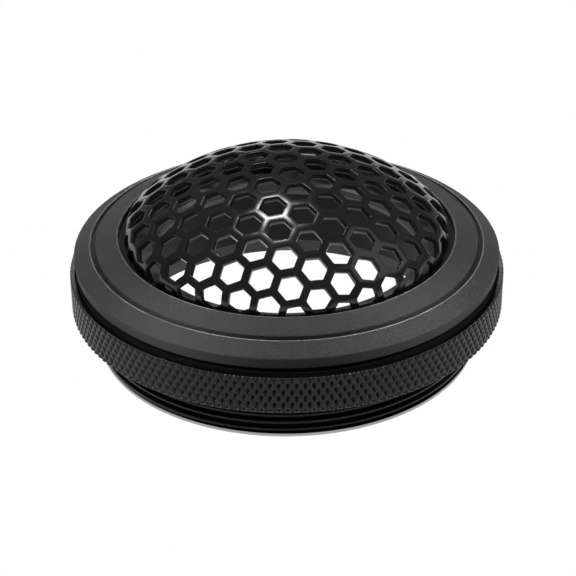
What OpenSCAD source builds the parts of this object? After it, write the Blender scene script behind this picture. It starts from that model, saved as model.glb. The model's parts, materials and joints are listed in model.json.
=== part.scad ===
// Car tweeter pod: domed honeycomb grille in a screw-in trim ring, flanged
// threaded barrel, knurled lock ring, and the seat ring that a tweeter is
// screwed to from behind. Millimetres, +Z out of the grille, origin at the
// centre of the rear ring's face, which the pod stands on.

/* [Barrel] */
// Outside diameter of the barrel's thread
barrel_d = 49; // [48.6:0.1:49.4]
// Bore that the tweeter body slides into
bore_d = 41.7; // [41.3:0.1:41.9]
// Height of the flange's underside above the rear face
flange_z = 11.33; // [11.25:0.01:11.45]
// Widest diameter of the flange
flange_d = 54.26; // [53.8:0.02:54.6]
// Pitch of the barrel's thread
thread_pitch = 1; // [1:0.05:1.1]

/* [Trim ring] */
// Clear diameter inside the trim ring's lip
lip_d = 42.74; // [42.6:0.02:43]
// Height of the lip's top edge
lip_z = 15.09; // [15.05:0.01:15.25]

/* [Grille] */
// Height of the dome's apex
apex_z = 24.38; // [23.9:0.01:24.8]
// Outer spherical radius of the dome
dome_r = 30.53; // [30:0.01:31]
// Sheet thickness
sheet_t = 0.75; // [0.6:0.05:0.8]
// Centre distance of the hexagonal holes
hole_pitch = 4; // [3.9:0.05:4.2]
// Width of each hole across its flats
hole_af = 2.96; // [2.6:0.02:3]
// Direction of a row of holes
row_angle = 40.12; // [0:0.01:60]

/* [Seat ring] */
// Aperture in front of the tweeter's dome
aperture_d = 33.7; // [32:0.1:34.5]
// Bolt circle of the four tapped holes for the tweeter
bolt_circle = 37.8; // [37.4:0.1:38]

/* [Lock ring] */
// Diameter over the knurl
ring_d = 55.5; // [55:0.1:56]
// Height of the ring
ring_h = 5.02; // [4.6:0.02:5.04]

/* [Hidden] */
$fn = 96;

barrel_r = barrel_d / 2;
bore_r = bore_d / 2;
flange_r = flange_d / 2;
base_z = 0.45;          // the barrel stands on the rear ring at this height
rebate_r = 22.22;       // rebate in the bore that takes the rear ring
rebate_z = 1.98;
lip_r = lip_d / 2;
ring_r = ring_d / 2;

pocket_r = 24.40;       // pocket that takes the trim ring
pocket_z = 11.75;
seat_r = 22.90;         // pocket that takes the seat ring
seat_z = 11.03;
seat_h = 2.00;
groove_z = 14.21;       // top of the groove between trim ring and flange

ring_z = 5.48;          // rear face of the lock ring
cup_r = 27.05;          // counterbore in the lock ring's front
cup_z = 8.75;

thread_root = barrel_r - 0.55;
thread_n = 9;

// dome
sphere_z = apex_z - dome_r;
skirt_r = 20.62;        // outer radius of the dome's upright edge
bend_r = 3.33;          // outer radius of the bend from dome to edge
bend_c = skirt_r - bend_r;
bend_z = sphere_z + sqrt(pow(dome_r - bend_r, 2) - pow(bend_c, 2));
bend_a = asin(bend_c / (dome_r - bend_r));       // where the bend begins
bend_s = dome_r * bend_a * PI / 180;             // sheet length up to there
rim_z = 13.65;          // underside of the grille's flat rim
rim_r = 22.90;

screw_circle_r = 21.80;
gasket_r = 19.75;       // inside of the groove for the tweeter's gasket

// ring of rectangular section
module band(ri, ro, z0, z1) {
    rotate_extrude() translate([ri, z0]) square([ro - ri, z1 - z0]);
}

// ---------------------------------------------------------------- barrel
module thread_grooves() {
    for (i = [0 : thread_n - 1]) {
        z = base_z + 0.72 + i * thread_pitch;
        rotate_extrude() polygon([[thread_root, z + 0.20], [barrel_r + 0.5, z - 0.24],
                                  [barrel_r + 0.5, z + 0.90], [thread_root, z + 0.46]]);
    }
}

module barrel_body() {
    color([0.085, 0.085, 0.09])
    difference() {
        rotate_extrude() polygon([
            [rebate_r, base_z + 0.01], [barrel_r - 0.1, base_z + 0.01], [barrel_r, base_z + 0.11],
            [barrel_r, flange_z], [26.82, flange_z], [26.92, flange_z + 0.08],
            [flange_r, 12.60], [flange_r - 0.05, 12.81], [26.70, 13.07],
            [25.60, 13.67], [pocket_r + 0.70, groove_z - 0.23],
            [pocket_r + 0.58, groove_z - 0.19], [pocket_r + 0.54, groove_z - 0.55],
            [pocket_r, groove_z - 0.55],
            [pocket_r, pocket_z], [seat_r, pocket_z], [seat_r, seat_z],
            [bore_r, seat_z], [bore_r, rebate_z], [rebate_r, rebate_z]]);
        thread_grooves();
        // tapped holes for the seat ring's screws
        for (a = [0 : 90 : 270]) rotate(a)
            translate([screw_circle_r, 0, seat_z - 3.2]) cylinder(r = 0.7, h = 4, $fn = 32);
    }
}

module rear_ring() {
    // bare ring pressed into the barrel's rear
    color([0.72, 0.72, 0.74])
    rotate_extrude() polygon([
        [21.3, 0.1], [21.4, 0], [barrel_r - 0.13, 0], [barrel_r - 0.08, 0.05],
        [barrel_r - 0.08, base_z - 0.01], [rebate_r - 0.03, base_z - 0.01],
        [rebate_r - 0.03, rebate_z - 0.03], [21.3, rebate_z - 0.03]]);
}

// ------------------------------------------------------------- front cap
module trim_ring() {
    color([0.09, 0.09, 0.095])
    rotate_extrude() polygon([
        [23.0, pocket_z + 0.02], [pocket_r - 0.05, pocket_z + 0.02],
        [pocket_r - 0.05, groove_z - 0.06], [pocket_r - 0.17, groove_z + 0.08],
        [lip_r + 0.16, lip_z], [lip_r + 0.04, lip_z - 0.06], [lip_r, lip_z - 0.18],
        [lip_r, 14.45], [23.0, 14.45], [23.0, 13.64], [23.35, 13.64],
        [23.35, 13.11], [23.0, 13.11]]);
}

// half outline of the sheet from the apex down to the upright edge, taken in by t
function sheet_points(t) = concat(
    [for (k = [0 : 12]) let (a = k * bend_a / 12)
        [(dome_r - t) * sin(a), sphere_z + (dome_r - t) * cos(a)]],
    [for (k = [1 : 6]) let (a = bend_a + k * (90 - bend_a) / 6)
        [bend_c + (bend_r - t) * sin(a), bend_z + (bend_r - t) * cos(a)]]);

function flipped(v) = [for (k = [len(v) - 1 : -1 : 0]) v[k]];

module hex_hole(u, v, depth) {
    // a hole at sheet coordinates u, v, square to the sheet
    s = norm([u, v]);
    phi = atan2(v, u);
    on_dome = s <= bend_s;
    th = on_dome ? s / dome_r * 180 / PI : bend_a + (s - bend_s) / bend_r * 180 / PI;
    c = on_dome ? [0, 0, sphere_z] : [bend_c, 0, bend_z];
    r = on_dome ? dome_r : bend_r;
    rotate([0, 0, phi]) translate(c) rotate([0, th, 0]) rotate([0, 0, row_angle - phi + 30])
        translate([0, 0, r - depth]) cylinder(r = hole_af / sqrt(3), h = depth + 0.6, $fn = 6);
}

// sheet coordinates of the lattice, whose origin is off the dome's centre
la = hole_pitch * [cos(row_angle), sin(row_angle)];
lb = hole_pitch * [cos(row_angle + 60), sin(row_angle + 60)];
lattice = [for (i = [-8 : 8], j = [-8 : 8]) let (p = (i + 0.092) * la + (j + 0.365) * lb) p];
part_s = bend_s + 1.9;      // holes centred beyond this would meet the rim

module grille_dome() {
    color([0.06, 0.06, 0.065])
    difference() {
        union() {
            rotate_extrude() polygon(concat(sheet_points(0), [[skirt_r, rim_z], [skirt_r - sheet_t, rim_z]],
                flipped(sheet_points(sheet_t))));
            band(skirt_r - sheet_t, rim_r, rim_z, rim_z + sheet_t);
        }
        for (p = lattice) if (norm(p) < part_s) hex_hole(p[0], p[1], 1.6);
    }
}

module snap_ring() {
    // split spring ring that keeps the grille in the trim ring
    color([0.55, 0.55, 0.57])
    difference() {
        band(22.0, 23.25, 13.15, 13.61);
        rotate([0, 0, 90]) translate([22.6, 0, 13.4]) cube([3, 3.2, 2], center = true);
    }
}

module grille_seal() {
    color([0.05, 0.05, 0.05]) band(19.9, 21.7, seat_z + seat_h + 0.02, rim_z - 0.02);
}

// ------------------------------------------------------------- seat ring
module seat_ring() {
    color([0.10, 0.10, 0.105])
    difference() {
        rotate_extrude() polygon([
            [aperture_d / 2, seat_z + 0.9], [aperture_d / 2 + 0.5, seat_z], [seat_r - 0.04, seat_z],
            [seat_r - 0.04, seat_z + seat_h], [aperture_d / 2 + 0.35, seat_z + seat_h],
            [aperture_d / 2, seat_z + seat_h - 0.35]]);
        // seat for the tweeter's gasket
        band(gasket_r, gasket_r + 0.5, seat_z - 1, seat_z + 0.5);
        // tapped holes for the tweeter
        for (a = [45 : 90 : 315]) rotate(a)
            translate([bolt_circle / 2, 0, seat_z - 1]) cylinder(r = 0.8, h = 2.5, $fn = 32);
        // countersunk holes for the ring's own screws
        for (a = [0 : 90 : 270]) rotate(a) translate([screw_circle_r, 0, 0]) {
            translate([0, 0, seat_z - 1]) cylinder(r = 0.78, h = 5, $fn = 32);
            translate([0, 0, seat_z + seat_h - 0.72]) cylinder(r1 = 0.6, r2 = 1.0, h = 0.74, $fn = 32);
        }
    }
}

module seat_screws() {
    color([0.62, 0.62, 0.64])
    for (a = [0 : 90 : 270]) rotate(a) translate([screw_circle_r, 0, 0])
        difference() {
            union() {
                translate([0, 0, seat_z - 2.9]) cylinder(r = 0.67, h = 4.4, $fn = 32);
                translate([0, 0, seat_z + seat_h - 0.66]) cylinder(r1 = 0.6, r2 = 0.95, h = 0.62, $fn = 32);
            }
            for (q = [0, 90]) rotate(q) translate([0, 0, seat_z + seat_h]) cube([1.3, 0.26, 0.6], center = true);
        }
}

module driver_gasket() {
    color([0.04, 0.04, 0.04]) band(gasket_r + 0.04, gasket_r + 0.46, seat_z + 0.04, seat_z + 0.48);
}

// ------------------------------------------------------------ panel clamp
module panel_gasket() {
    color([0.03, 0.03, 0.03]) band(barrel_r + 0.15, 26.55, flange_z - 0.32, flange_z - 0.01);
}

module clamp_washer() {
    color([0.03, 0.03, 0.03]) band(barrel_r + 0.2, cup_r - 0.12, cup_z + 0.03, ring_z + ring_h + 0.22);
}

module lock_ring() {
    color([0.10, 0.10, 0.105])
    rotate_extrude() polygon([
        [barrel_r + 0.36, ring_z], [ring_r - 0.30, ring_z], [ring_r, ring_z + 0.22],
        [ring_r, ring_z + ring_h - 0.06], [ring_r - 0.06, ring_z + ring_h],
        [cup_r + 0.08, ring_z + ring_h], [cup_r, ring_z + ring_h - 0.10],
        [cup_r, cup_z], [barrel_r + 0.05, cup_z], [barrel_r + 0.05, ring_z + 0.3]]);
}

barrel_body();
rear_ring();
trim_ring();
grille_dome();
snap_ring();
grille_seal();
seat_ring();
seat_screws();
driver_gasket();
panel_gasket();
clamp_washer();
lock_ring();
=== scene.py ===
"""Looks for the tweeter pod: camera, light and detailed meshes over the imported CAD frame."""

import bpy
import bmesh
import json
import math
import numpy as np
from mathutils import Matrix, Vector

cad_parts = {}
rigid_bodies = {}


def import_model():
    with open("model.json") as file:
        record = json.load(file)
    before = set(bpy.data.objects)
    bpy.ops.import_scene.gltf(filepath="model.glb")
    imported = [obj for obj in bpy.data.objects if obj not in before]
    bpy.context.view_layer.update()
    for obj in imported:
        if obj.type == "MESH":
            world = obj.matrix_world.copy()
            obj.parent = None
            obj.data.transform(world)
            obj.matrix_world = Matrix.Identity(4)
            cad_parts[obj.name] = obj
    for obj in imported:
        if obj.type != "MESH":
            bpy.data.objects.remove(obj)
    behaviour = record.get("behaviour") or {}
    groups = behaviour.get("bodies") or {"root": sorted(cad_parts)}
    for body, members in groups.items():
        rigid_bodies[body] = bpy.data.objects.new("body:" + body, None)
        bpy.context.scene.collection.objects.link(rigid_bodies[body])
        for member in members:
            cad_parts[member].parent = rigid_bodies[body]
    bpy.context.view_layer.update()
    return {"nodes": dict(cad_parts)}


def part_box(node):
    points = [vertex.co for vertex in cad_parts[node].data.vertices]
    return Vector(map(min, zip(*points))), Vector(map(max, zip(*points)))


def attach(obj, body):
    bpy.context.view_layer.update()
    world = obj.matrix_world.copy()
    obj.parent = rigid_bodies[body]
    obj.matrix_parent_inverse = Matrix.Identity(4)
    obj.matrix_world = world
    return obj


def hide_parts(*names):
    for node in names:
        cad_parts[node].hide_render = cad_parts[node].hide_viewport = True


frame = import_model()
NODE = frame["nodes"]
MM = 0.001
PI = math.pi


def low(name):
    return [c * 1000 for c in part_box(name)[0]]


def high(name):
    return [c * 1000 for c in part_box(name)[1]]


# Heights below are in mm above the barrel's own rear face, which sits on the rear ring.
Z0 = low("barrel_body")[2] - 0.01

# --------------------------------------------------------------------------- materials


def node_tree(name):
    mat = bpy.data.materials.new(name)
    mat.use_nodes = True
    nt = mat.node_tree
    bsdf = nt.nodes["Principled BSDF"]
    return mat, nt, bsdf


def add(nt, kind, **values):
    n = nt.nodes.new(kind)
    for key, value in values.items():
        if key in n.inputs:
            n.inputs[key].default_value = value
        else:
            setattr(n, key, value)
    return n


def object_coords(nt):
    return nt.nodes.new("ShaderNodeTexCoord").outputs["Object"]


def noise(nt, vector, scale, detail=2.0, rough=0.5):
    n = add(nt, "ShaderNodeTexNoise")
    n.inputs["Scale"].default_value = scale
    n.inputs["Detail"].default_value = detail
    n.inputs["Roughness"].default_value = rough
    nt.links.new(vector, n.inputs["Vector"])
    return n.outputs["Fac"]


def remap(nt, value, a, b, lo=0.3, hi=0.7):
    m = add(nt, "ShaderNodeMapRange")
    m.inputs["From Min"].default_value = lo
    m.inputs["From Max"].default_value = hi
    m.inputs["To Min"].default_value = a
    m.inputs["To Max"].default_value = b
    nt.links.new(value, m.inputs["Value"])
    return m.outputs["Result"]


def colour_mix(nt, value, a, b, lo=0.3, hi=0.7):
    ramp = add(nt, "ShaderNodeValToRGB")
    ramp.color_ramp.elements[0].position = lo
    ramp.color_ramp.elements[0].color = (*a, 1)
    ramp.color_ramp.elements[1].position = hi
    ramp.color_ramp.elements[1].color = (*b, 1)
    nt.links.new(value, ramp.inputs["Fac"])
    return ramp.outputs["Color"]


def bump(nt, bsdf, height, strength, distance, below=None):
    b = add(nt, "ShaderNodeBump")
    b.inputs["Strength"].default_value = strength
    b.inputs["Distance"].default_value = distance
    nt.links.new(height, b.inputs["Height"])
    if below is not None:
        nt.links.new(below, b.inputs["Normal"])
    nt.links.new(b.outputs["Normal"], bsdf.inputs["Normal"])
    return b.outputs["Normal"]


def grained(name, dark, light, rough, grain=9000, strength=0.35, specular=0.5, depth=0.00002, turned=0.0):
    """Blasted or moulded surface: fine grain in colour, roughness and bump, with a slow drift over it."""
    mat, nt, bsdf = node_tree(name)
    if turned:
        tangent = add(nt, "ShaderNodeTangent", direction_type="RADIAL", axis="Z")
        nt.links.new(tangent.outputs[0], bsdf.inputs["Tangent"])
        bsdf.inputs["Anisotropic"].default_value = turned
        bsdf.inputs["Anisotropic Rotation"].default_value = 0.25
    co = object_coords(nt)
    fine = noise(nt, co, grain, 3.0, 0.6)
    slow = noise(nt, co, 90, 3.0, 0.55)
    mix = add(nt, "ShaderNodeMath", operation="MULTIPLY_ADD")
    nt.links.new(slow, mix.inputs[0])
    mix.inputs[1].default_value = 0.45
    nt.links.new(remap(nt, fine, 0.0, 0.55, 0.25, 0.75), mix.inputs[2])
    nt.links.new(colour_mix(nt, mix.outputs[0], dark, light, 0.25, 0.8), bsdf.inputs["Base Color"])
    nt.links.new(remap(nt, mix.outputs[0], rough[0], rough[1], 0.2, 0.85), bsdf.inputs["Roughness"])
    bsdf.inputs["Specular IOR Level"].default_value = specular
    bump(nt, bsdf, fine, strength, depth)
    return mat


def gloss_coat(name, dark, light, rough):
    """Sprayed gloss coat: faint orange peel, tiny dust nibs and a slow change of roughness."""
    mat, nt, bsdf = node_tree(name)
    co = object_coords(nt)
    peel = noise(nt, co, 900, 2.0, 0.5)
    slow = noise(nt, co, 160, 3.0, 0.6)
    nibs = noise(nt, co, 5200, 1.0, 0.4)
    nt.links.new(colour_mix(nt, slow, dark, light), bsdf.inputs["Base Color"])
    nt.links.new(remap(nt, slow, rough[0], rough[1]), bsdf.inputs["Roughness"])
    bsdf.inputs["Specular IOR Level"].default_value = 0.5
    first = bump(nt, bsdf, peel, 0.12, 0.00006)
    bump(nt, bsdf, remap(nt, nibs, 0, 1, 0.68, 0.8), 0.1, 0.00001, first)
    return mat


def turned_metal(name, dark, light, rough, black_inside=0.0):
    """Lathe-turned metal: fine rings round the axis, which vary with radius and height. Black anodising stays inside the given radius."""
    mat, nt, bsdf = node_tree(name)
    co = object_coords(nt)
    sep = add(nt, "ShaderNodeSeparateXYZ")
    nt.links.new(co, sep.inputs[0])
    flat = add(nt, "ShaderNodeCombineXYZ")
    nt.links.new(sep.outputs["X"], flat.inputs["X"])
    nt.links.new(sep.outputs["Y"], flat.inputs["Y"])
    rad = add(nt, "ShaderNodeVectorMath", operation="LENGTH")
    nt.links.new(flat.outputs[0], rad.inputs[0])
    rz = add(nt, "ShaderNodeCombineXYZ")
    nt.links.new(rad.outputs["Value"], rz.inputs["X"])
    nt.links.new(sep.outputs["Z"], rz.inputs["Y"])
    rings = noise(nt, rz.outputs[0], 14000, 3.0, 0.6)
    slow = noise(nt, co, 120, 3.0, 0.6)
    colour = colour_mix(nt, rings, dark, light)
    if black_inside:
        bare = remap(nt, rad.outputs["Value"], 0.0, 1.0, black_inside - 0.00003, black_inside + 0.00003)
        mix = add(nt, "ShaderNodeMix", data_type="RGBA")
        nt.links.new(bare, mix.inputs["Factor"])
        mix.inputs[6].default_value = (0.012, 0.012, 0.0122, 1)
        nt.links.new(colour, mix.inputs[7])
        colour = mix.outputs[2]
        nt.links.new(bare, bsdf.inputs["Metallic"])
    else:
        bsdf.inputs["Metallic"].default_value = 1.0
    nt.links.new(colour, bsdf.inputs["Base Color"])
    nt.links.new(remap(nt, slow, rough[0], rough[1]), bsdf.inputs["Roughness"])
    bump(nt, bsdf, rings, 0.25, 0.00001)
    return mat


def foam(name, dark, light):
    mat, nt, bsdf = node_tree(name)
    co = object_coords(nt)
    cells = add(nt, "ShaderNodeTexVoronoi")
    cells.inputs["Scale"].default_value = 4200
    nt.links.new(co, cells.inputs["Vector"])
    nt.links.new(colour_mix(nt, cells.outputs["Distance"], light, dark, 0.1, 0.8), bsdf.inputs["Base Color"])
    nt.links.new(remap(nt, noise(nt, co, 700, 2.0), 0.72, 0.95), bsdf.inputs["Roughness"])
    bsdf.inputs["Specular IOR Level"].default_value = 0.12
    bump(nt, bsdf, cells.outputs["Distance"], 0.6, 0.00006)
    return mat


M = {
    "barrel": grained("black_anodised_mat", (0.007, 0.007, 0.0071), (0.014, 0.014, 0.0142), (0.42, 0.5), 6500, 1.0, 0.18, 0.00009, 0.93),
    "trim": grained("black_anodised_trim_mat", (0.0075, 0.0075, 0.0076), (0.015, 0.015, 0.0152), (0.42, 0.5), 6500, 1.0, 0.18, 0.00009, 0.93),
    "knurl": grained("black_anodised_knurl_mat", (0.004, 0.004, 0.0041), (0.009, 0.009, 0.0091), (0.24, 0.34), 7000, 0.3, 0.2),
    "grille": gloss_coat("gloss_black_mat", (0.022, 0.022, 0.0222), (0.034, 0.034, 0.0343), (0.15, 0.24)),
    "bare": turned_metal("bare_aluminium_mat", (0.28, 0.28, 0.285), (0.48, 0.48, 0.485), (0.3, 0.45), 0.0215),
    "steel": turned_metal("screw_steel_mat", (0.36, 0.36, 0.37), (0.56, 0.56, 0.58), (0.28, 0.4)),
    "spring": turned_metal("spring_steel_mat", (0.3, 0.3, 0.31), (0.5, 0.5, 0.52), (0.3, 0.45)),
    "seat": grained("seat_plastic_mat", (0.012, 0.012, 0.0122), (0.026, 0.026, 0.0263), (0.42, 0.6), 5200, 0.3, 0.4, 0.00003),
    "washer": grained("washer_plastic_mat", (0.0015, 0.0015, 0.0015), (0.003, 0.003, 0.003), (0.6, 0.75), 3800, 0.25, 0.06, 0.00003),
    "rubber": foam("soft_rubber_mat", (0.002, 0.002, 0.002), (0.008, 0.008, 0.008)),
}



def bright_edges(mat, rings, scale, colour):
    """Shows bare metal along turned edges. Each ring is (radius, height, half width), in mm from the barrel's rear face."""
    nt = mat.node_tree
    bsdf = nt.nodes["Principled BSDF"]
    sep = add(nt, "ShaderNodeSeparateXYZ")
    nt.links.new(object_coords(nt), sep.inputs[0])
    flat = add(nt, "ShaderNodeCombineXYZ")
    nt.links.new(sep.outputs["X"], flat.inputs["X"])
    nt.links.new(sep.outputs["Y"], flat.inputs["Y"])
    rad = add(nt, "ShaderNodeVectorMath", operation="LENGTH")
    nt.links.new(flat.outputs[0], rad.inputs[0])
    rz = add(nt, "ShaderNodeCombineXYZ")
    nt.links.new(rad.outputs["Value"], rz.inputs["X"])
    nt.links.new(sep.outputs["Z"], rz.inputs["Y"])
    total = None
    for r, z, half in rings:
        d = add(nt, "ShaderNodeVectorMath", operation="DISTANCE")
        nt.links.new(rz.outputs[0], d.inputs[0])
        d.inputs[1].default_value = (r * MM, (z + Z0) * MM, 0)
        m = remap(nt, d.outputs["Value"], 1.0, 0.0, half * 0.6 * MM, half * MM)
        if total is None:
            total = m
        else:
            mx = add(nt, "ShaderNodeMath", operation="MAXIMUM")
            nt.links.new(total, mx.inputs[0])
            nt.links.new(m, mx.inputs[1])
            total = mx.outputs[0]
    spots = remap(nt, noise(nt, object_coords(nt), scale, 2.0), 0.3, 1.0, 0.35, 0.55)
    mul = add(nt, "ShaderNodeMath", operation="MULTIPLY")
    nt.links.new(total, mul.inputs[0])
    nt.links.new(spots, mul.inputs[1])
    mix = add(nt, "ShaderNodeMix", data_type="RGBA")
    nt.links.new(mul.outputs[0], mix.inputs["Factor"])
    nt.links.new(bsdf.inputs["Base Color"].links[0].from_socket, mix.inputs[6])
    mix.inputs[7].default_value = (*colour, 1)
    nt.links.new(mix.outputs[2], bsdf.inputs["Base Color"])
    nt.links.new(mul.outputs[0], bsdf.inputs["Metallic"])


def height_mask(nt, z_mm, soft_mm=0.03):
    """1 below the given height, 0 above it."""
    sep = add(nt, "ShaderNodeSeparateXYZ")
    nt.links.new(object_coords(nt), sep.inputs[0])
    z = (z_mm + Z0) * MM
    return remap(nt, sep.outputs["Z"], 1.0, 0.0, z - soft_mm * MM, z + soft_mm * MM)


def blend_input(nt, bsdf, name, mask, value):
    """Blends one input towards a fixed value where the mask is 1."""
    colour = isinstance(value, tuple)
    mix = add(nt, "ShaderNodeMix", data_type="RGBA" if colour else "FLOAT")
    nt.links.new(mask, mix.inputs[0])
    a, b, o = (6, 7, 2) if colour else (2, 3, 0)
    nt.links.new(bsdf.inputs[name].links[0].from_socket, mix.inputs[a])
    mix.inputs[b].default_value = (*value, 1) if colour else value
    nt.links.new(mix.outputs[o], bsdf.inputs[name])


# the thread is machined after blasting, so it is smoother than the flange; its colour is also darkened as painted
# shade, standing for the shade the lock ring casts on it
nt = M["barrel"].node_tree
thread_shade_and_finish_mask = height_mask(nt, 10.9)
blend_input(nt, nt.nodes["Principled BSDF"], "Base Color", thread_shade_and_finish_mask, (0.0025, 0.0025, 0.0026))
blend_input(nt, nt.nodes["Principled BSDF"], "Roughness", thread_shade_and_finish_mask, 0.2)
# painted shade: the lock ring's front face is darkened in colour to near black, standing for the shade under the flange
nt = M["knurl"].node_tree
sub = add(nt, "ShaderNodeMath", operation="SUBTRACT")
sub.inputs[0].default_value = 1.0
nt.links.new(height_mask(nt, 10.035, 0.015), sub.inputs[1])
blend_input(nt, nt.nodes["Principled BSDF"], "Base Color", sub.outputs[0], (0.0008, 0.0008, 0.0008))

bright_edges(M["knurl"], [(27.62, 5.10, 0.14)], 1500, (0.3, 0.3, 0.305))
bright_edges(M["barrel"], [(25.03, 13.56, 0.10)], 260, (0.17, 0.17, 0.173))
bright_edges(M["trim"], [(21.47, 14.63, 0.14)], 260, (0.17, 0.17, 0.172))

# --------------------------------------------------------------------------- mesh helpers


def finish_mesh(name, verts_mm, faces, mat, body, stands_for, sharp=35.0, weld=2e-7):
    me = bpy.data.meshes.new(name)
    me.from_pydata([tuple(v) for v in (np.asarray(verts_mm, float) * MM)], [], faces)
    bm = bmesh.new()
    bm.from_mesh(me)
    bmesh.ops.remove_doubles(bm, verts=bm.verts, dist=weld)
    bmesh.ops.dissolve_degenerate(bm, dist=weld, edges=bm.edges)
    bmesh.ops.recalc_face_normals(bm, faces=bm.faces)
    bm.to_mesh(me)
    bm.free()
    me.polygons.foreach_set("use_smooth", [True] * len(me.polygons))
    me.set_sharp_from_angle(angle=math.radians(sharp))
    me.materials.append(mat)
    o = bpy.data.objects.new(name, me)
    bpy.context.scene.collection.objects.link(o)
    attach(o, body)
    if stands_for:
        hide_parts(stands_for)
    return o


def rounded(points, seg=4, support=0.03):
    """Closed half outline: each point is (r, z, corner radius). Corners become arcs, with a support point either side."""
    n = len(points)
    out = []
    for i in range(n):
        p = np.array(points[i][:2], float)
        rad = points[i][2] if len(points[i]) > 2 else 0.0
        a = np.array(points[i - 1][:2], float) - p
        b = np.array(points[(i + 1) % n][:2], float) - p
        la, lb = np.linalg.norm(a), np.linalg.norm(b)
        a, b = a / la, b / lb
        if rad <= 0:
            out.append(p)
            continue
        ang = math.acos(max(-1.0, min(1.0, float(a @ b))))
        cut = min(rad / math.tan(ang / 2), 0.45 * la, 0.45 * lb)
        rad = cut * math.tan(ang / 2)
        mid = (a + b) / np.linalg.norm(a + b)
        c = p + mid * rad / math.sin(ang / 2)
        s, e = p + a * cut, p + b * cut
        v0, v1 = s - c, e - c
        turn = math.acos(max(-1.0, min(1.0, float(v0 @ v1) / rad / rad)))
        if la * 0.5 > cut + support:
            out.append(s + a * support)
        for k in range(seg + 1):
            t = k / seg
            w0, w1 = math.sin((1 - t) * turn) / math.sin(turn), math.sin(t * turn) / math.sin(turn)
            out.append(c + w0 * v0 + w1 * v1)
        if lb * 0.5 > cut + support:
            out.append(e + b * support)
    return out


def ring_of(r, z, cols):
    t = np.arange(cols) * 2 * PI / cols
    return np.stack([r * np.cos(t), r * np.sin(t), np.full(cols, z + Z0)], 1)


def lathe_faces(rows, cols, start=0):
    f = []
    for i in range(rows):
        k = (i + 1) % rows
        for j in range(cols):
            m = (j + 1) % cols
            f.append((start + i * cols + j, start + i * cols + m, start + k * cols + m, start + k * cols + j))
    return f


def lathe(name, profile, cols, mat, body, stands_for, sharp=35.0):
    rows = [ring_of(r, z, cols) for r, z in profile]
    return finish_mesh(name, np.concatenate(rows), lathe_faces(len(rows), cols), mat, body, stands_for, sharp)


# --------------------------------------------------------------------------- screw thread
PITCH = 1.0
CREST = [(-0.5, 0.55), (-0.40, 0.55), (-0.37, 0.52), (-0.13, 0.012), (-0.10, 0.0), (0.10, 0.0), (0.13, 0.012), (0.37, 0.52), (0.40, 0.55)]
CREST_X = [c[0] for c in CREST] + [0.5]
CREST_Y = [c[1] for c in CREST] + [0.55]


def thread_rows(z0, z1, crest_r, cols, centre, sign=-1.0, fade0=0.3, fade1=0.7):
    """Rows of a right-hand thread from z0 to z1, one row per corner of its outline, and how far the rows step up in a turn."""
    t = np.arange(cols) / cols
    first, last = math.floor(z0 - centre) - 2, math.ceil(z1 - centre) + 1
    offs = [k + c[0] for k in range(first, last) for c in CREST]
    rows = []
    for o in offs:
        z = np.clip(centre + o + PITCH * t, z0, z1)
        ph = (z - centre - PITCH * t + 0.5) % 1.0 - 0.5
        depth = np.interp(ph, CREST_X, CREST_Y)
        f0, f1 = np.clip((z - z0) / fade0, 0, 1), np.clip((z1 - z) / fade1, 0, 1)
        r = crest_r + sign * depth * f0 * f0 * (3 - 2 * f0) * f1 * f1 * (3 - 2 * f1)
        rows.append(np.stack([r * np.cos(2 * PI * t), r * np.sin(2 * PI * t), z + Z0], 1))
    return rows, len(CREST)


def threaded(name, before, rows, step, after, cols, mat, body, stands_for, sharp=35.0):
    """Closed lathe whose outline has a thread between the points in before and those in after."""
    allrows = [ring_of(r, z, cols) for r, z in before] + rows + [ring_of(r, z, cols) for r, z in after]
    nb, nt_, total = len(before), len(rows), len(allrows)
    faces = []
    for i in range(total):
        k = (i + 1) % total
        in_thread = nb <= i < nb + nt_ - 1
        for j in range(cols):
            m = (j + 1) % cols
            if m == 0 and in_thread:
                ii, kk = min(i + step, nb + nt_ - 1), min(k + step, nb + nt_ - 1)
                if ii == kk:
                    faces.append((i * cols + j, ii * cols, k * cols + j))
                else:
                    faces.append((i * cols + j, ii * cols, kk * cols, k * cols + j))
            else:
                faces.append((i * cols + j, i * cols + m, k * cols + m, k * cols + j))
    return finish_mesh(name, np.concatenate(allrows), faces, mat, body, stands_for, sharp)


COLS = 360
rows, step = thread_rows(0.11, 10.88, 24.50, COLS, -0.10)
# the threaded barrel, and the flange that is one with it
body_rest = rounded([
    (24.50, 10.88, 0), (22.90, 10.88, 0), (22.90, 10.58, 0), (20.85, 10.58, 0), (20.85, 1.53, 0.05), (22.22, 1.53, 0),
    (22.22, 0.01, 0.05), (24.40, 0.01, 0.04)])
threaded("barrel_thread", [], rows, step, body_rest[1:], COLS, M["barrel"], "barrel", "barrel_body")
flange = rounded([
    (24.50, 10.88, 0), (26.82, 10.88, 0.0), (26.93, 10.97, 0.05), (27.14, 12.33, 0.22), (26.62, 12.68, 0.4), (25.60, 13.22, 0),
    (25.04, 13.57, 0.07), (24.94, 13.53, 0.05), (24.94, 13.21, 0), (24.40, 13.21, 0.03), (24.40, 11.30, 0), (22.90, 11.30, 0),
    (22.90, 10.88, 0)])
lathe("barrel_flange", flange, COLS, M["barrel"], "barrel", "barrel_body")

# --------------------------------------------------------------------------- bare rear ring
rear = rounded([(21.30, -0.45, 0.06), (24.39, -0.45, 0.04), (24.42, -0.01, 0.02), (22.19, -0.01, 0),
                (22.19, 1.50, 0.05), (21.30, 1.50, 0.1)])
lathe("rear_ring_detail", rear, COLS, M["bare"], "barrel", "rear_ring")

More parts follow.
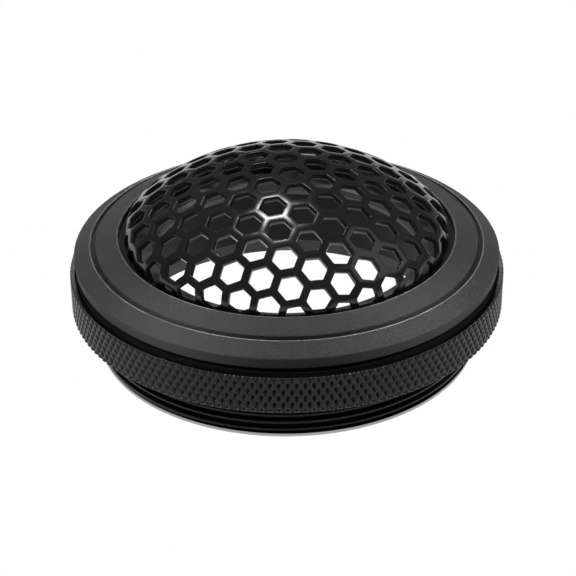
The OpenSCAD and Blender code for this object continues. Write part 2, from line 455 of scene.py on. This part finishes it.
# --------------------------------------------------------------------------- trim ring
trim = rounded([
    (23.00, 11.32, 0.04), (24.35, 11.32, 0.05), (24.35, 13.70, 0.03), (24.23, 13.84, 0.05), (21.50, 14.65, 0.16),
    (21.37, 14.50, 0.08), (21.37, 14.00, 0.03), (23.00, 14.00, 0), (23.00, 13.19, 0), (23.35, 13.19, 0),
    (23.35, 12.66, 0), (23.00, 12.66, 0)])
lathe("trim_detail", trim, COLS, M["trim"], "trim", "trim_ring")

# --------------------------------------------------------------------------- knurled lock ring
KN = 168            # knurl lines of one hand round the ring
KV = 0.57           # lines per mm of height
KSUB = 12
KDEPTH = 0.36
KCOLS = KN * KSUB
zk0, zk1 = 5.25, 9.96
nrow = int(round((zk1 - zk0) * KV * KSUB))
theta = np.arange(KCOLS) / KCOLS


def knurl_height(z):
    """Rolled diamond knurl: small deep pits in rows, with rounded humps between them."""
    a = 2 * PI * (KN * theta + KV * (z - 8.05))
    b = 2 * PI * (KN * theta - KV * (z - 8.05))
    pit = (2 + np.cos(a) + np.cos(b)) / 4
    ridge = np.maximum(np.abs(np.cos(a / 2)), np.abs(np.cos(b / 2)))
    return 0.5 * np.clip(pit / 0.42, 0, 1) ** 0.8 + 0.38 * ridge ** 2 + 0.12 * pit


def knurl_row(z):
    r = 27.75 - KDEPTH * (1 - knurl_height(z))
    # the teeth run out at the front edge as a row of beads
    edge = np.clip((z - zk1 + 0.22) / 0.22, 0, 1)
    r = r * (1 - edge) + (27.73 - 0.16 * (0.5 - 0.5 * np.cos(4 * PI * KN * theta))) * edge
    return np.stack([r * np.cos(2 * PI * theta), r * np.sin(2 * PI * theta), np.full(KCOLS, z + Z0)], 1)


ring_rows = [knurl_row(zk0 + (zk1 - zk0) * i / nrow) for i in range(nrow + 1)]
inner = rounded([
    (27.60, 10.05, 0.02), (27.12, 10.05, 0.05), (27.05, 8.30, 0), (24.55, 8.30, 0.05), (24.55, 5.33, 0), (24.86, 5.03, 0.04), (27.42, 5.03, 0)])
nk = len(inner)
krows = ring_rows + [ring_of(r, z, KCOLS) for r, z in inner]
lock = finish_mesh("lock_ring_knurled", np.concatenate(krows), lathe_faces(len(krows), KCOLS), M["knurl"],
                   "ring", "lock_ring", 50.0)

# --------------------------------------------------------------------------- honeycomb grille
APEX = high("grille_dome")[2] - Z0
DOME_R, SHEET, SKIRT_R, BEND_R = 30.53, 0.75, 20.62, 3.33
RIM_Z = low("grille_dome")[2] - Z0
PITCH_H, HOLE = 4.0, 2.96
ROW = math.radians(40.12)
SPH_Z = APEX - DOME_R
BEND_C = SKIRT_R - BEND_R
BEND_Z = SPH_Z + math.sqrt((DOME_R - BEND_R) ** 2 - BEND_C ** 2)
BEND_A = math.asin(BEND_C / (DOME_R - BEND_R))
S1 = DOME_R * BEND_A
S2 = S1 + BEND_R * (PI / 2 - BEND_A)
S_END = S2 + (BEND_Z - (RIM_Z + 0.35))


def hexagon(apothem, corner, spread=0.13):
    """36 points round a hexagon with rounded corners; its flats face the next holes."""
    c = apothem / math.cos(PI / 6)
    e = max(corner * math.tan(PI / 6), spread)
    corners = [np.array([c * math.cos(ROW + PI / 6 + k * PI / 3), c * math.sin(ROW + PI / 6 + k * PI / 3)]) for k in range(6)]
    pts = []
    for k in range(6):
        p, q = corners[k], corners[(k + 1) % 6]
        u = (q - p) / np.linalg.norm(q - p)
        pts.append(p * (1 - 0.1547 * corner / c))
        s, t = p + u * e, q - u * e
        for w in (0.0, 0.25, 0.5, 0.75, 1.0):
            pts.append(s + (t - s) * w)
    return np.array(pts)


ROLL, UNDER = 0.11, 0.08
half = HOLE / 2
layers = [(PITCH_H / 2, 0.0, 0.0)]
for a in (0, 22.5, 45, 67.5, 90):
    s_, c_ = math.sin(math.radians(a)), math.cos(math.radians(a))
    layers.append((half + ROLL * (1 - s_), 0.20 + ROLL * (1 - s_), -ROLL * (1 - c_)))
for a in (0, 30, 60, 90):
    s_, c_ = math.sin(math.radians(a)), math.cos(math.radians(a))
    layers.append((half + UNDER * (1 - c_), 0.20 + UNDER * (1 - c_), -SHEET + UNDER * (1 - s_)))
layers.append((PITCH_H / 2, 0.0, -SHEET))
ring_xy = [hexagon(a, c) for a, c, h in layers]
ring_h = [h for a, c, h in layers]
LA = PITCH_H * np.array([math.cos(ROW), math.sin(ROW)])
LB = PITCH_H * np.array([math.cos(ROW + PI / 3), math.sin(ROW + PI / 3)])
centres = [(i + 0.092) * LA + (j + 0.365) * LB for i in range(-9, 10) for j in range(-9, 10)]
centres = [c for c in centres if np.linalg.norm(c) < S_END + 3.2]
verts, faces = [], []
nl = len(layers)
for c in centres:
    base = len(verts) * 36
    for xy, h in zip(ring_xy, ring_h):
        verts.append(np.column_stack([xy + c, np.full(36, h)]))
    for i in range(nl - 1):
        for j in range(36):
            m = (j + 1) % 36
            faces.append((base + i * 36 + j, base + (i + 1) * 36 + j, base + (i + 1) * 36 + m, base + i * 36 + m))
verts = np.concatenate(verts)

flat = bpy.data.meshes.new("sheet_flat")
flat.from_pydata([tuple(v) for v in verts], [], faces)
bm = bmesh.new()
bm.from_mesh(flat)
bmesh.ops.remove_doubles(bm, verts=bm.verts, dist=0.0005)
# wall round the outside, so that the flat sheet is closed
bm.verts.ensure_lookup_table()
key = lambda v: (round(v.co.x, 2), round(v.co.y, 2))
border = [e for e in bm.edges if len(e.link_faces) == 1]
bottom = {key(v): v for e in border for v in e.verts if v.co.z < -SHEET / 2}
for e in border:
    if e.verts[0].co.z > -SHEET / 2:
        a, b = e.verts
        if key(a) in bottom and key(b) in bottom:
            bm.faces.new((a, b, bottom[key(b)], bottom[key(a)]))
bmesh.ops.recalc_face_normals(bm, faces=bm.faces)
bm.to_mesh(flat)
bm.free()
sheet = bpy.data.objects.new("sheet_flat", flat)
bpy.context.scene.collection.objects.link(sheet)

disc_me = bpy.data.meshes.new("cut_disc")
n = 240
dv = [(S_END * math.cos(2 * PI * (k + 0.37) / n), S_END * math.sin(2 * PI * (k + 0.37) / n), z) for z in (-2.0, 1.0) for k in range(n)]
df = [tuple(range(n))[::-1], tuple(range(n, 2 * n))] + [(k, (k + 1) % n, n + (k + 1) % n, n + k) for k in range(n)]
disc_me.from_pydata(dv, [], df)
disc = bpy.data.objects.new("cut_disc", disc_me)
bpy.context.scene.collection.objects.link(disc)
mod = sheet.modifiers.new("cut", "BOOLEAN")
mod.operation, mod.solver, mod.object = "INTERSECT", "EXACT", disc
bpy.context.view_layer.update()
cut = bpy.data.meshes.new_from_object(sheet.evaluated_get(bpy.context.evaluated_depsgraph_get()))
bpy.data.objects.remove(sheet)
bpy.data.objects.remove(disc)


def form(p):
    """Bends the flat sheet: dome, bend, then the upright edge."""
    s = np.hypot(p[:, 0], p[:, 1])
    phi = np.arctan2(p[:, 1], p[:, 0])
    h = p[:, 2]
    r, z = np.zeros_like(s), np.zeros_like(s)
    d = s <= S1
    a = s[d] / DOME_R
    r[d], z[d] = (DOME_R + h[d]) * np.sin(a), SPH_Z + (DOME_R + h[d]) * np.cos(a)
    b = (s > S1) & (s <= S2)
    a = BEND_A + (s[b] - S1) / BEND_R
    r[b], z[b] = BEND_C + (BEND_R + h[b]) * np.sin(a), BEND_Z + (BEND_R + h[b]) * np.cos(a)
    e = s > S2
    r[e], z[e] = SKIRT_R + h[e], BEND_Z - (s[e] - S2)
    return np.column_stack([r * np.cos(phi), r * np.sin(phi), z + Z0])


cv = np.zeros(len(cut.vertices) * 3)
cut.vertices.foreach_get("co", cv)
dome_v = form(cv.reshape(-1, 3))
dome_f = [tuple(p.vertices) for p in cut.polygons]
rim = rounded([(19.87, RIM_Z, 0.05), (22.90, RIM_Z, 0.1), (22.90, RIM_Z + SHEET, 0.1), (20.80, RIM_Z + SHEET, 0.0),
               (20.55, RIM_Z + SHEET + 0.02, 0.0), (19.95, RIM_Z + SHEET + 0.02, 0.0), (19.87, RIM_Z + SHEET, 0.05)])
rc = 240
rim_v = np.concatenate([ring_of(r, z, rc) for r, z in rim])
rim_f = lathe_faces(len(rim), rc, len(dome_v))
grille = finish_mesh("grille_honeycomb", np.concatenate([dome_v, rim_v]), dome_f + rim_f, M["grille"], "grille",
                     "grille_dome", 40.0)

# --------------------------------------------------------------------------- CAD nodes that stay
for name, mat in (("snap_ring", "spring"), ("grille_seal", "rubber"), ("seat_ring", "seat"),
                  ("seat_screws", "steel"), ("driver_gasket", "rubber"), ("panel_gasket", "rubber"), ("clamp_washer", "washer")):
    o = NODE[name]
    o.data.materials.clear()
    o.data.materials.append(M[mat])

# --------------------------------------------------------------------------- floor, light, camera


def emission(name, strength, colour=(1, 1, 1)):
    mat = bpy.data.materials.new(name)
    mat.use_nodes = True
    nt = mat.node_tree
    nt.nodes.clear()
    out = nt.nodes.new("ShaderNodeOutputMaterial")
    em = nt.nodes.new("ShaderNodeEmission")
    em.inputs["Color"].default_value = (*colour, 1)
    em.inputs["Strength"].default_value = strength
    nt.links.new(em.outputs[0], out.inputs["Surface"])
    return mat


me = bpy.data.meshes.new("floor")
s = 3.0
me.from_pydata([(-s, -s, -0.00002), (s, -s, -0.00002), (s, s, -0.00002), (-s, s, -0.00002)], [], [(0, 1, 2, 3)])
me.materials.append(emission("floor_white", 1.0))
floor = bpy.data.objects.new("floor", me)
bpy.context.scene.collection.objects.link(floor)

world = bpy.data.worlds.new("studio")
bpy.context.scene.world = world
world.use_nodes = True
world.node_tree.nodes["Background"].inputs["Color"].default_value = (1, 1, 1, 1)
world.node_tree.nodes["Background"].inputs["Strength"].default_value = 0.08


def area(name, azimuth, elevation, dist, size, power):
    """Soft box aimed at the object. Azimuth 0 is behind the camera, positive to the right."""
    a, e = math.radians(azimuth), math.radians(elevation)
    light = bpy.data.lights.new(name, "AREA")
    light.shape = "RECTANGLE"
    light.size, light.size_y = size
    light.energy = power
    o = bpy.data.objects.new(name, light)
    o.location = (dist * math.cos(e) * math.sin(a), -dist * math.cos(e) * math.cos(a), 0.012 + dist * math.sin(e))
    o.rotation_euler = (Vector((0, 0, 0.012)) - o.location).to_track_quat("-Z", "Y").to_euler()
    bpy.context.scene.collection.objects.link(o)
    return o


LIGHTS = [
    ("overhead_spot", -168, 68, 0.6, (0.12, 0.10), 1.2),
    ("back_fill", 180, 26, 0.6, (0.3, 0.1), 0.5),
    ("right_box", 98, 50, 0.6, (0.3, 0.3), 0.25),
]
STRIPS = [
    ("left_strip", -72, 40, 0.6, (0.05, 0.28), 8.5),
    ("right_strip", 84, 40, 0.6, (0.05, 0.28), 8.0),
]
lamps = {spec[0]: area(*spec) for spec in LIGHTS}
# The strips and the back fill rake the turned metal only, like cards placed to miss the gloss grille.
lit = bpy.data.collections.new("strip_lit")
for o in bpy.context.scene.objects:
    if o.type == "MESH" and o.name not in ("grille_honeycomb", "barrel_thread", "rear_ring_detail"):
        lit.objects.link(o)
for spec in STRIPS:
    area(*spec).light_linking.receiver_collection = lit
lamps["back_fill"].light_linking.receiver_collection = lit

cam_data = bpy.data.cameras.new("camera")
cam_data.lens = 119.69
cam_data.sensor_width = 36.0
cam_data.shift_x = 0.0019
cam_data.clip_start = 0.01
cam = bpy.data.objects.new("camera", cam_data)
bpy.context.scene.collection.objects.link(cam)
ELEV, DIST, LOOK = 0.531570661, 0.24816, 0.005947 + Z0 * MM
cam.location = (0, -DIST * math.cos(ELEV), LOOK + DIST * math.sin(ELEV))
q = (Vector((0, 0, LOOK)) - cam.location).to_track_quat("-Z", "Y")
cam.rotation_mode = "QUATERNION"
cam.rotation_quaternion = q @ Matrix.Rotation(-0.0088777, 3, "Z").to_quaternion()
bpy.context.scene.camera = cam

bpy.context.scene.view_settings.view_transform = "Standard"
bpy.context.scene.view_settings.look = "None"
